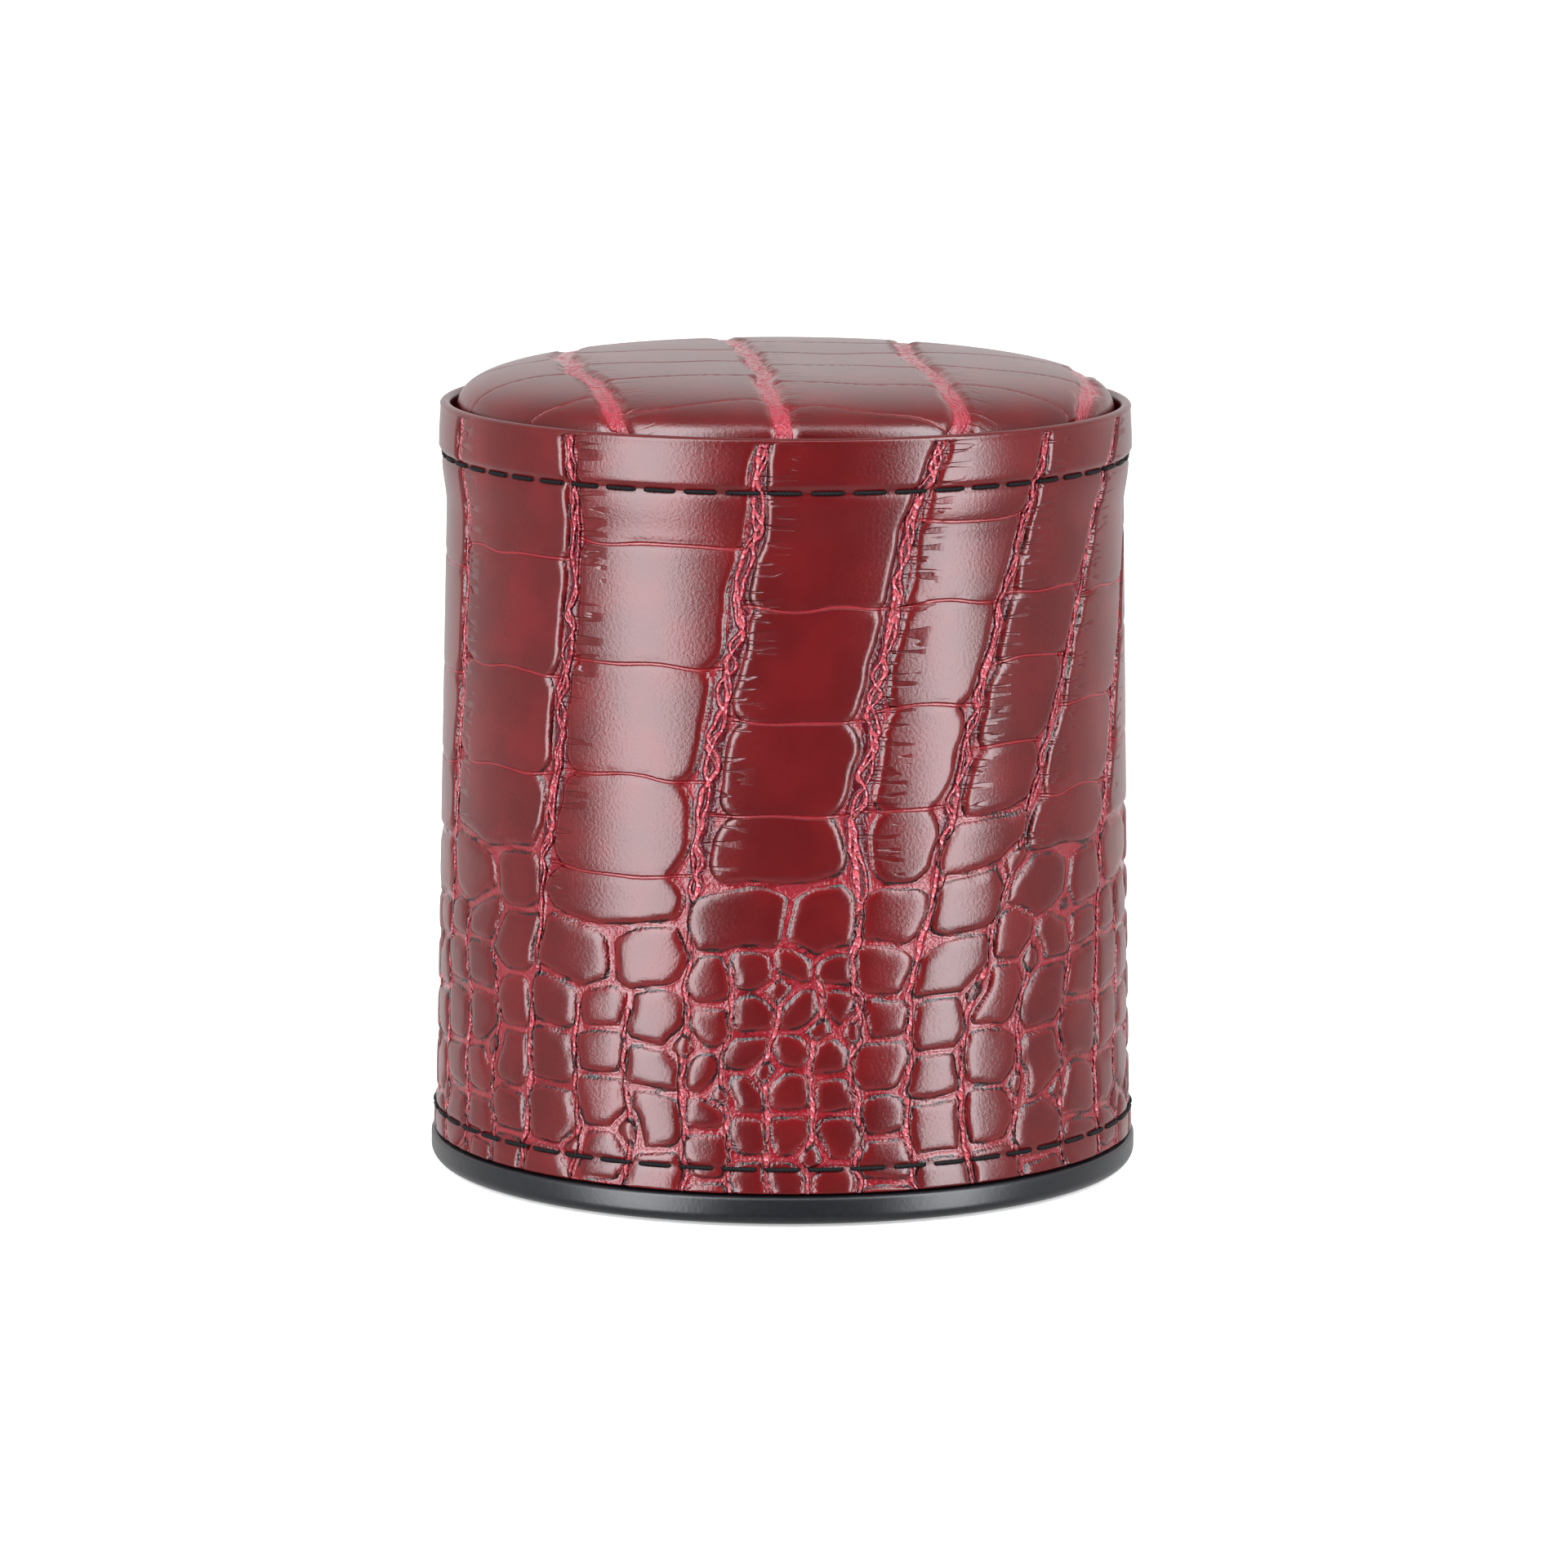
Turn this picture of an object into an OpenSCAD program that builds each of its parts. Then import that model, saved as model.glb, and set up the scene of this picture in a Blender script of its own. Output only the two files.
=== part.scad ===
// Leather dice cup that stands mouth down on its round tray.
// Origin: middle of the underside, where the tray's foot pad rests. +Z is up. Millimetres.
// Every layer of the cup's wall is a solid of revolution: leather, leatherboard core, card
// backing and velvet lie one inside the other, a glue line apart.

/* [Cup] */
// Radius of the straight leather wall at the mouth
mouth_r = 45.75; // [42:0.25:50]
// How much smaller the wall's radius is at the hem's stitch line
taper = 1.8; // [0:0.1:3]
// Height of the wall, from the mouth's edge to the rim
cup_h = 95.9; // [80:0.1:120]
// How far the mouth's lip stands out from the straight wall
lip_out = 0.25; // [0.1:0.05:0.5]

/* [Layers] */
// Thickness of the leather
leather_t = 0.7; // [0.6:0.05:1]
// Thickness of the leather where it is pared down and turned in
pared_t = 0.5; // [0.4:0.05:0.55]
// Thickness of the leatherboard core
core_t = 2; // [1.5:0.25:3]
// Thickness of the velvet
velvet_t = 0.9; // [0.6:0.1:1.2]
// Glue line between two layers
glue = 0.05; // [0.03:0.01:0.08]

/* [Hem] */
// Depth of the hem, from the rim down to its stitch line
hem_h = 6.9; // [6:0.1:9]
// How far the hem stands out from the straight wall
hem_out = 1.15; // [1.1:0.05:1.5]
// Thickness of the rim's lip
rim_t = 1.5; // [1.4:0.05:1.8]
// How far the leather is turned in at the mouth
turn_in = 9.7; // [6:0.1:15]

/* [End cover] */
// Gap between the padded end cover and the rim's lip
cover_gap = 0.7; // [0.4:0.1:1.2]
// Height of the padded dome
dome_h = 8.5; // [6:0.5:12]
// Squareness of the dome's outline, where 2 is an ellipse
dome_power = 3.5; // [2.5:0.5:5]
// Thickness of the board in the end cover
board_t = 2; // [1.5:0.25:2.5]

/* [Tray] */
// Radius of the tray
tray_r = 46.3; // [46.3:0.1:52]
// Height of the tray's flange
tray_h = 4; // [3.5:0.5:6]
// Height of the locating ring above the flange
ring_h = 4; // [3:0.5:8]
// Clearance between the ring and the velvet inside the mouth
ring_gap = 0.5; // [0.3:0.1:1.5]
// Thickness of the foot pad
foot_t = 1.2; // [1:0.1:1.4]

/* [Stitching] */
// Number of stitches in each ring
stitches = 52; // [36:1:60]
// Number of stitches in the back seam
seam_stitches = 14; // [8:1:15]
// Part of the pitch that a stitch covers
stitch_fill = 0.84; // [0.6:0.02:0.88]
// Thickness of the thread
thread_d = 0.6; // [0.4:0.05:0.6]

/* [Hidden] */
$fn = 120;

// Heights, from the bottom up
base_z = 0.3;                      // underside of the tray's flange, just off the table
lift = 0.3;                        // gap between the tray's flange and the mouth's edge
mouth_z = tray_h + lift;           // edge of the mouth
mouth_stitch_z = mouth_z + 3.2;    // stitch line near the mouth
rim_z = mouth_z + cup_h;           // top of the rim
stitch_z = rim_z - hem_h;          // stitch line under the rim
swell_z = stitch_z - 6.8;          // where the wall starts to swell out to the hem
cover_z = rim_z - 4.7;             // top of the core and underside of the end cover
liner_top_z = cover_z - 2.55;      // underside of the velvet in the closed end
velvet_z = mouth_z + 2;            // lower edge of the velvet
turned_z = mouth_z + turn_in;      // end of the leather that is turned in at the mouth

// Hem and rim
stitch_dip = 0.35;                 // depth of the groove that a row of stitches pulls in
dip_half = 0.38;                   // half the width of the groove's floor
dip_edge = 0.75;                   // half the width of the groove's mouth
ply_z = swell_z + 1.6;             // lower end of the leather that is turned in at the rim
tape_t = 0.3;                      // thickness of the reinforcing tape in the hem
tape_z = stitch_z + 1.3;           // lower edge of the tape, where the hem reaches its full radius
fold_z = rim_z - 1;                // where the wrap's two plies part below the rim
hem_ease = 0.15;                   // how much the hem still lacks at the groove's upper edge
rim_set = 0.1;                     // how far the rim's lip is set in from the hem's face
bend_low = 0.2;                    // height above the core where the turned ply starts to bend
bend_high = 0.9;                   // height above the core where it runs straight again
hem_r = wall_r(stitch_z) + hem_out;
rim_mid_r = hem_r - rim_set - rim_t / 2;
rim_in_r = rim_mid_r - rim_t / 2;
rim_turn_z = rim_z - rim_t / 2;

// End cover
cover_r = rim_in_r - cover_gap;
dome_z = cover_z + 1.9;            // where the cover's upright side turns into the dome
board_z = cover_z + leather_t + 2 * glue;
filling_r = cover_r - leather_t - 4 * glue;    // radius of the board and of the foam on it

// Tray
ring_r = wall_r(velvet_z + 2) - liner_in() - ring_gap;
ring_t = 2;                        // thickness of the locating ring
dish_z = tray_h - 1;               // floor inside the ring
foot_r = 40;
foot_gap = 0.2;                    // gap round the foot pad
tray_pad_t = 2.5;
disc_r = ring_r - ring_t - 0.1;    // radius of the foam and the velvet inside the ring

// Radius of the straight wall's leather at height z
function wall_r(z) = mouth_r - taper * (z - mouth_z) / (stitch_z - mouth_z);
// Depth below the leather's face of the core, of the backing, of the velvet and of the inside
function core_in() = leather_t + glue;
function backing_in() = core_in() + core_t + glue;
function velvet_in() = backing_in() + pared_t + glue;
function liner_in() = velvet_in() + velvet_t;
// Smooth step from 0 to 1
function ease(t) = let (u = min(max(t, 0), 1)) u * u * (3 - 2 * u);
// How far the leather swells out below the hem at height z
swell_out = hem_out - 0.45;
function swell(z) = swell_out * ease((z - swell_z) / (stitch_z - dip_edge - swell_z));
// Points of an arc in the profile plane
function arc(mid, r, from, to, steps) =
    [for (i = [0 : steps]) let (a = from + (to - from) * i / steps)
        [mid[0] + r * cos(a), mid[1] + r * sin(a)]];
// Quarter of a superellipse, from the axis out to radius r, h high, standing at height z
function dome(r, h, z, steps = 14) =
    [for (i = [0 : steps]) let (a = 90 * i / steps)
        [r * pow(sin(a), 2 / dome_power), z + h * pow(cos(a), 2 / dome_power)]];
// Profile of a stitch line's groove in a face of radius r, from below to above
function dip(r, z) = [[r, z - dip_edge], [r - stitch_dip, z - dip_half],
                      [r - stitch_dip, z + dip_half], [r, z + dip_edge]];

// Solid of revolution between two depths below the leather's face
module layer(depth, thick, low, high) {
    rotate_extrude()
        polygon([[wall_r(low) - depth, low], [wall_r(high) - depth, high],
                 [wall_r(high) - depth - thick, high], [wall_r(low) - depth - thick, low]]);
}

// One straight stitch with round ends, lying along Z
module stitch(length) {
    straight = length - thread_d;
    cylinder(h = straight, d = thread_d, center = true, $fn = 20);
    for (end = [-1, 1]) translate([0, 0, end * straight / 2]) sphere(d = thread_d, $fn = 20);
}

// Ring of stitches that lies in a groove whose floor has radius r
module stitch_ring(r, z) {
    pitch = 2 * PI * r / stitches;
    for (i = [0 : stitches - 1])
        rotate([0, 0, i * 360 / stitches]) translate([r + glue + thread_d / 2, 0, z])
            rotate([90, 0, 0]) stitch(pitch * stitch_fill);
}

// Back seam: places one child at each stitch, standing on the floor of the seam's groove
seam_low = mouth_stitch_z + 4;
seam_high = swell_z - 2;
seam_pitch = (seam_high - seam_low) / seam_stitches;
seam_lean = atan(taper / (stitch_z - mouth_z));
module seam_place(z) {
    rotate([0, 0, 90]) translate([wall_r(z) - stitch_dip, 0, z])
        rotate([0, -seam_lean, 0]) children();
}

// Tray: moulded base, with the foot pad's recess below and the locating ring above
module tray_base() {
    low_edge = 1.6;
    top_edge = 0.5;
    soft = 0.4;
    color("#3b3d40") rotate_extrude() polygon(concat(
        [[0, foot_t], [foot_r + foot_gap, foot_t], [foot_r + foot_gap, base_z]],
        arc([tray_r - low_edge, base_z + low_edge], low_edge, -90, 0, 6),
        arc([tray_r - top_edge, tray_h - top_edge], top_edge, 0, 90, 4),
        [[ring_r, tray_h]],
        arc([ring_r - soft, tray_h + ring_h - soft], soft, 0, 90, 4),
        arc([ring_r - ring_t + soft, tray_h + ring_h - soft], soft, 90, 180, 4),
        [[ring_r - ring_t, dish_z], [0, dish_z]]));
}

// Tray: anti-slip pad that the whole object rests on
module tray_foot() {
    color("#202224") cylinder(h = foot_t - glue, r = foot_r);
}

// Tray: foam disc inside the ring
module tray_pad() {
    color("#55585c") translate([0, 0, dish_z + glue])
        cylinder(h = tray_pad_t, r = disc_r);
}

// Tray: velvet disc glued over the foam
module tray_velvet() {
    color("#17181b") translate([0, 0, dish_z + tray_pad_t + 2 * glue])
        cylinder(h = velvet_t, r = disc_r);
}

// Cup: the leather wrap, turned in over the rim at the top and round the core at the mouth
module wall_leather() {
    hem_foot = [for (i = [0 : 6]) swell_z + (stitch_z - dip_edge - swell_z) * i / 6];
    lip_r = wall_r(mouth_z) + lip_out;
    lip_round = 0.4;
    face = core_in() - glue;
    ply = face - pared_t;
    rim_ply_r = rim_in_r + pared_t;
    hem_face = hem_r - leather_t;
    color("#8a2b38") difference() {
        rotate_extrude() polygon(concat(
            // outside, from the mouth up to the rim
            arc([lip_r - lip_round, mouth_z + lip_round], lip_round, -90, 0, 4),
            dip(lip_r, mouth_stitch_z),
            [[wall_r(mouth_stitch_z + 3), mouth_stitch_z + 3]],
            [for (z = hem_foot) [wall_r(z) + swell(z), z]],
            [[wall_r(stitch_z) + swell_out - stitch_dip, stitch_z - dip_half],
             [wall_r(stitch_z) + swell_out - stitch_dip, stitch_z + dip_half],
             [hem_r - hem_ease, stitch_z + dip_edge], [hem_r, tape_z]],
            arc([rim_mid_r, rim_turn_z], rim_t / 2, 0, 180, 10),
            // inside of the rim, down to the end of the turned ply
            [[rim_in_r, cover_z + bend_high], [wall_r(cover_z) - face, cover_z + bend_low],
             [wall_r(ply_z) - face, ply_z]],
            // the ply's other face, up to the fold
            [for (z = hem_foot) if (z > ply_z)
                [wall_r(z) - face + min(swell(z) - glue, pared_t), z]],
            [[wall_r(cover_z) - ply, cover_z + bend_low], [rim_ply_r, cover_z + bend_high],
             [rim_ply_r, fold_z], [hem_face, fold_z], [hem_face, tape_z - 4 * glue],
             [wall_r(stitch_z) + swell_out - leather_t, stitch_z + dip_half]],
            // back of the wrap, down to the mouth
            [for (i = [6 : -1 : 0]) let (z = hem_foot[i])
                [wall_r(z) + swell(z) - leather_t, z]],
            [[wall_r(mouth_z) - face, mouth_z + leather_t],
             // under the core and up its inside
             [wall_r(mouth_z) - backing_in(), mouth_z + leather_t],
             [wall_r(turned_z) - backing_in(), turned_z],
             [wall_r(turned_z) - backing_in() - pared_t, turned_z],
             [wall_r(mouth_z) - backing_in() - pared_t, mouth_z + lip_round],
             [wall_r(mouth_z) - backing_in() - pared_t + lip_round, mouth_z]]));
        seam_groove();
    }
}

// Groove of the back seam, cut from the leather's face
module seam_groove() {
    middle = (seam_low + seam_high) / 2;
    seam_place(middle) translate([0, -dip_half, -(seam_high - seam_low) / 2])
        cube([3, 2 * dip_half, seam_high - seam_low]);
}

// Cup: rigid tube of leatherboard
module wall_core() {
    color("#a58a68") layer(core_in(), core_t, mouth_z + leather_t + glue, cover_z);
}

// Cup: strip of reinforcing tape between the two plies of the hem
module hem_tape() {
    high = fold_z - 2 * glue;
    outer = hem_r - leather_t - glue;
    color("#d8d2c4") translate([0, 0, tape_z]) difference() {
        cylinder(h = high - tape_z, r = outer);
        translate([0, 0, -1]) cylinder(h = high - tape_z + 2, r = outer - tape_t);
    }
}

// Cup: card that backs the velvet, from the end of the turned-in leather up
module liner_backing() {
    color("#bfb7a6") layer(backing_in(), pared_t, turned_z + 0.3, liner_top_z - glue);
}

// Cup: velvet on the inside of the wall
module liner_wall() {
    color("#191a1d") layer(velvet_in(), velvet_t, velvet_z, liner_top_z - glue);
}

// Cup: card disc above the velvet in the closed end
module liner_end_board() {
    low = liner_top_z + velvet_t + glue;
    color("#bfb7a6") translate([0, 0, low])
        cylinder(h = cover_z - low, r = wall_r(cover_z) - backing_in());
}

// Cup: velvet disc in the closed end
module liner_end() {
    color("#191a1d") translate([0, 0, liner_top_z])
        cylinder(h = velvet_t, r = wall_r(cover_z) - backing_in());
}

// Cup: board that stiffens the end cover and rests on the core
module end_board() {
    color("#bfb7a6") translate([0, 0, board_z])
        cylinder(h = board_t, r = filling_r);
}

// Cup: foam that gives the end cover its dome
module end_pad() {
    low = board_z + board_t + glue;
    brim = 0.1;
    points = dome(filling_r, dome_h - leather_t - 4 * glue, dome_z);
    color("#e6e0cf") rotate_extrude()
        polygon(concat([[0, low]], [for (p = points) if (p[1] > low + 2 * brim) p],
                       [[filling_r, low + brim], [filling_r, low]]));
}

// Cup: padded leather cover of the closed end, turned in under its board
module end_cover() {
    turn = 8;
    edge = 0.6;
    color("#8a2b38") rotate_extrude() polygon(concat(
        dome(cover_r, dome_h, dome_z),
        arc([cover_r - edge, cover_z + glue + edge], edge, 0, -90, 4),
        [[cover_r - turn, cover_z + glue], [cover_r - turn, cover_z + glue + leather_t],
         [cover_r - leather_t, cover_z + glue + leather_t]],
        [for (i = [14 : -1 : 0]) dome(cover_r - leather_t, dome_h - leather_t, dome_z)[i]]));
}

// Cup: ring of stitches under the rim
module top_stitching() {
    color("#141416") stitch_ring(wall_r(stitch_z) + swell_out - stitch_dip, stitch_z);
}

// Cup: ring of stitches near the mouth
module mouth_stitching() {
    color("#141416") stitch_ring(wall_r(mouth_z) + lip_out - stitch_dip, mouth_stitch_z);
}

// Cup: stitches down the back seam
module seam_stitching() {
    color("#141416") for (i = [0 : seam_stitches - 1])
        seam_place(seam_low + (i + 0.5) * seam_pitch) translate([thread_d / 2 + glue, 0, 0])
            stitch(seam_pitch * stitch_fill);
}

tray_foot();
tray_base();
tray_pad();
tray_velvet();
wall_leather();
wall_core();
hem_tape();
liner_backing();
liner_wall();
liner_end_board();
liner_end();
end_board();
end_pad();
end_cover();
top_stitching();
mouth_stitching();
seam_stitching();
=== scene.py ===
# %% [markdown]
# # A leather dice cup on its tray
# The CAD model is a fixed frame: it says where every piece lies and what moves. This lesson puts the
# looks on that frame. The showpiece is the embossed crocodile leather, worked out as a height field
# over the flat sheet, then wrapped round the wall and stretched over the padded end.

# %% Load the fixed frame
import math

import bpy
import numpy as np
from mathutils import Matrix, Vector


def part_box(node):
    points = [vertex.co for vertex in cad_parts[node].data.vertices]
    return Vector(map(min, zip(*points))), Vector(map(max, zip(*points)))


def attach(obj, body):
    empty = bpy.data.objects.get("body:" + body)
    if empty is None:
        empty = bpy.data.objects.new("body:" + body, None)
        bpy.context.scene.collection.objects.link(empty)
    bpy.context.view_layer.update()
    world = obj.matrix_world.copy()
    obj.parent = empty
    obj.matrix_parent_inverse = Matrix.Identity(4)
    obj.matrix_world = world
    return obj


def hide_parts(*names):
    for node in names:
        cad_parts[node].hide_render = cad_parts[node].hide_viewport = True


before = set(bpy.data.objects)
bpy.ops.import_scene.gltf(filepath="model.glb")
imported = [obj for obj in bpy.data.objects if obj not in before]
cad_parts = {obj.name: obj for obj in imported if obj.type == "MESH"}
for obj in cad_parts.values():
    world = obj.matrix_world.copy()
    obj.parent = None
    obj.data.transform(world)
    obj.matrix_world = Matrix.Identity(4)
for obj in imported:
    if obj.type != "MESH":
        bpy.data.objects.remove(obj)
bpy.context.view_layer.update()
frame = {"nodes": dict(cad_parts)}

# %% [markdown]
# ## Sizes
# The arrays below are in millimetres, because leather is measured so, and turn into metres when a
# mesh is made. Heights and radii are read from the frame's own pieces, so the two can't drift apart.
# What a box can't tell, such as the depth of a groove, is a named value.

# %% Read the sizes from the frame
MM = 0.001


def span(node):
    """Lowest and highest corner of a CAD node, in millimetres."""
    low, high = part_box(node)
    return np.array(low) / MM, np.array(high) / MM


mouth_z, rim_z = (corner[2] for corner in span("wall_leather"))
mouth_stitch_z = sum(corner[2] for corner in span("mouth_stitching")) / 2
stitch_z = sum(corner[2] for corner in span("top_stitching")) / 2
cover_z, cover_top_z = (corner[2] for corner in span("end_cover"))
cover_r = span("end_cover")[1][0]

taper = 1.8                # loss of radius from the mouth to the hem's stitch line
lip_out = 0.25             # how far the mouth's lip stands out
mouth_r = 45.75            # straight wall at the mouth
hem_out = 1.15             # how far the hem stands out from the straight wall
swell_out = 0.7            # how far the wall has swelled out just below the hem
swell_z = stitch_z - 6.8   # where the wall starts to swell towards the hem
rim_t = 1.5                # thickness of the rim's lip
leather_t, pared_t, core_t = 0.7, 0.5, 2.0     # leather, leather pared at a turned edge, core
glue = 0.05                # glue line between two layers
stitch_dip = 0.34          # depth of the groove that a row of stitches pulls in
rim_mid_r = mouth_r - taper + hem_out - 0.1 - rim_t / 2
rim_in_r = rim_mid_r - rim_t / 2
print(f"wall from {mouth_z:.1f} to {rim_z:.1f} mm")
print(f"stitched at {mouth_stitch_z:.1f} and {stitch_z:.1f} mm")

# %% [markdown]
# ## Camera, floor and light
# A long lens from a metre away, looking down by nine degrees, keeps the cup's sides almost parallel.
# Two tall soft boxes stand left and right of the camera and draw two upright highlights on the round
# wall, and a weak one above it lifts the padded end. The room is white except for a dark gap behind
# the camera, which keeps the middle of the wall deep red.

# %% Camera
eye_distance = 1034 * MM
eye_tilt = math.radians(9.26)
eye_roll = math.radians(0.24)
eye_target = Vector((0, 0, 49.4 * MM))

camera = bpy.data.objects.new("camera", bpy.data.cameras.new("camera"))
bpy.context.scene.collection.objects.link(camera)
camera.location = eye_target + eye_distance * Vector((0, -math.cos(eye_tilt), math.sin(eye_tilt)))
camera.matrix_world = (Matrix.Translation(camera.location)
                       @ Matrix.Rotation(math.pi / 2 - eye_tilt, 4, "X")
                       @ Matrix.Rotation(eye_roll, 4, "Z"))
camera.data.lens = 181.1
camera.data.sensor_width = 36
camera.data.clip_start = 0.05
bpy.context.scene.camera = camera
print(f"camera: {camera.data.lens} mm lens, {eye_distance:.2f} m from the cup")

# %% Node helper, colours and the mesh maker
def linear(hex_colour):
    """An sRGB hex colour as linear red, green, blue and alpha."""
    parts = [int(hex_colour[i:i + 2], 16) / 255 for i in (1, 3, 5)]
    return [c / 12.92 if c <= 0.04045 else ((c + 0.055) / 1.055) ** 2.4 for c in parts] + [1.0]


def plug(tree, socket, source):
    """Gives a socket another node's output, an sRGB hex colour or a number; None leaves it alone."""
    if isinstance(source, bpy.types.NodeSocket):
        tree.links.new(source, socket)
    elif source is not None:
        socket.default_value = linear(source) if isinstance(source, str) else source


def feed(tree, node, **sources):
    """Feeds a node's sockets by name, with _ for a space."""
    for name, source in sources.items():
        plug(tree, node.inputs[name.replace("_", " ")], source)


def add(tree, kind, *inputs, output=None, **settings):
    """Adds a node and gives an output of it, the first live one unless named. Inputs feed its live
    sockets in order; settings name its properties, or more of its sockets."""
    node = tree.nodes.new("ShaderNode" + kind)
    for name, value in settings.items():
        if hasattr(node, name):
            setattr(node, name, value)
        else:
            feed(tree, node, **{name: value})
    for socket, source in zip([socket for socket in node.inputs if socket.enabled], inputs):
        plug(tree, socket, source)
    return node.outputs[output] if output else next((o for o in node.outputs if o.enabled), None)


# Settings that many nodes share
smooth = {"interpolation_type": "SMOOTHSTEP"}
colours = {"data_type": "RGBA"}
plus, minus, times, times_plus, most = (
    {"operation": kind} for kind in ("ADD", "SUBTRACT", "MULTIPLY", "MULTIPLY_ADD", "MAXIMUM"))


def new_material(name, **sockets):
    """An empty principled material, with constant sockets set on the shader itself."""
    material = bpy.data.materials.new(name)
    material.use_nodes = True
    shader = material.node_tree.nodes["Principled BSDF"]
    feed(material.node_tree, shader, **sockets)
    return material, material.node_tree, shader


def put(obj):
    """Links an object into the scene."""
    bpy.context.scene.collection.objects.link(obj)
    return obj


def grid_faces(rows, cols, close_rows=False):
    """Quads between neighbours of a rows by cols grid of points, whose columns go all the way round."""
    r = np.arange(rows if close_rows else rows - 1)
    a, b = (x.ravel() for x in np.meshgrid(r, np.arange(cols), indexing="ij"))
    up, right = (a + 1) % rows, (b + 1) % cols
    return np.stack([a * cols + b, a * cols + right, up * cols + right, up * cols + b], axis=1)


def volume(points, faces):
    """Signed volume inside a closed mesh of quads: the sum of the pyramids from the origin."""
    p = points[faces]
    halves = [(p[:, 0], p[:, 1], p[:, 2]), (p[:, 0], p[:, 2], p[:, 3])]
    return sum(np.einsum("ij,ij->i", a, np.cross(b, c)).sum() for a, b, c in halves) / 6


def make_mesh(name, points, faces, caps=()):
    """A smooth mesh piece from points in millimetres; caps are extra faces with any corners."""
    if volume(points, faces) < 0:
        faces = faces[:, ::-1]
        caps = [list(cap)[::-1] for cap in caps]
    mesh = bpy.data.meshes.new(name)
    mesh.from_pydata((points * MM).tolist(), [], faces.tolist() + [list(cap) for cap in caps])
    mesh.polygons.foreach_set("use_smooth", np.ones(len(mesh.polygons), bool))
    mesh.update()
    print(f"{name}: {len(mesh.vertices)} points, {len(mesh.polygons)} faces")
    return put(bpy.data.objects.new(name, mesh))


def store(obj, name, values):
    """Keeps one number for each point of a piece, for its material to read."""
    layer = obj.data.attributes.new(name, "FLOAT", "POINT")
    layer.data.foreach_set("value", np.asarray(values, np.float32).ravel())


def around(radius, z, angle):
    """Points on circles: angle 0 faces the camera and grows to the right."""
    return np.stack(np.broadcast_arrays(radius * np.sin(angle), -radius * np.cos(angle), z), axis=-1)


# %% Floor, soft boxes and room
floor_mesh = bpy.data.meshes.new("floor")
floor_half = 12.0
floor_mesh.from_pydata([(x * floor_half, y * floor_half, -0.05 * MM)
                        for x, y in ((-1, -1), (1, -1), (1, 1), (-1, 1))], [], [(0, 1, 2, 3)])
floor = put(bpy.data.objects.new("floor", floor_mesh))
floor.visible_glossy = False      # the soft boxes show in the leather as if the floor ended at the cup


def matt_white():
    """Matt white backlit acrylic: it glows a little, to stay white far off, and is clear from below."""
    paint, tree, shader = new_material(
        "matt_white_acrylic", Base_Color="#F6F6F6", Roughness=0.9, Specular_IOR_Level=0.1,
        Emission_Color="#FFFFFF", Emission_Strength=0.42)
    below, clear = add(tree, "NewGeometry", output="Backfacing"), add(tree, "BsdfTransparent")
    mix = add(tree, "MixShader", below, shader.outputs[0], clear)
    feed(tree, tree.nodes["Material Output"], Surface=mix)
    return paint


floor.data.materials.append(matt_white())


def soft_box(name, azimuth, distance, width, height, centre_z, power):
    """An area light that looks at the cup. Azimuth 0 is at the camera, positive to the right."""
    light = bpy.data.lights.new(name, "AREA")
    light.shape = "RECTANGLE"
    light.size, light.size_y, light.energy = width, height, power
    light.color = (0.93, 0.96, 1.0)      # daylight, a little blue
    lamp = put(bpy.data.objects.new(name, light))
    turn = math.radians(azimuth)
    lamp.location = (distance * math.sin(turn), -distance * math.cos(turn), centre_z)
    aim = eye_target - lamp.location
    lamp.rotation_euler = aim.to_track_quat("-Z", "Y").to_euler()
    lamp.visible_camera = False
    return lamp


soft_box("soft_box_left", -46, 1.3, 0.75, 2.2, 0.35, 57)
soft_box("soft_box_right", 55, 1.3, 0.58, 2.2, 0.35, 47)
soft_box("soft_box_above", 0, 0.7, 1.8, 0.3, 1.45, 9)

room = bpy.data.worlds.new("white_room")
bpy.context.scene.world = room
room.use_nodes = True
tree = room.node_tree
tree.nodes.clear()
direction = add(tree, "TexCoord", output="Generated")
ahead = add(tree, "VectorMath", direction, (0, -1, 0), operation="DOT_PRODUCT")
gap = add(tree, "MapRange", ahead, 0.5, 0.9, 0.55, 0.03, **smooth)
behind = add(tree, "MapRange", ahead, -0.9, -0.2, 0.31, 0.0, **smooth)
brightness = add(tree, "Math", gap, behind, **plus)
seen = add(tree, "LightPath", output="Is Camera Ray")
strength = add(tree, "Mix", seen, brightness, 1.0)
add(tree, "OutputWorld", add(tree, "Background", (1, 1, 1, 1), strength))
bpy.context.scene.view_settings.view_transform = "Standard"
print("light: three soft boxes and a white room")

# %% [markdown]
# ## The hide
# Crocodile print is made by pressing a hot engraved plate into coated leather. Three things make the
# pattern: long upright creases, wide tiles stacked between them, and small round pebbles where the
# belly turns into the flank. All are written as distances over the flat sheet, in millimetres: each
# cell says how far a point lies inside its edge, and the deepest cell wins. Among pebbles, half the
# lead that it has over the next one is the distance from the valley between the two. The height then
# follows from that one distance. A painted height map could give such a relief too, but distances
# stay sharp at any size and give the colour of the creases as well.

# %% Smooth random helpers
def ease(t):
    """Smooth step from 0 to 1."""
    u = np.clip(t, 0, 1)
    return u * u * (3 - 2 * u)


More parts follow.
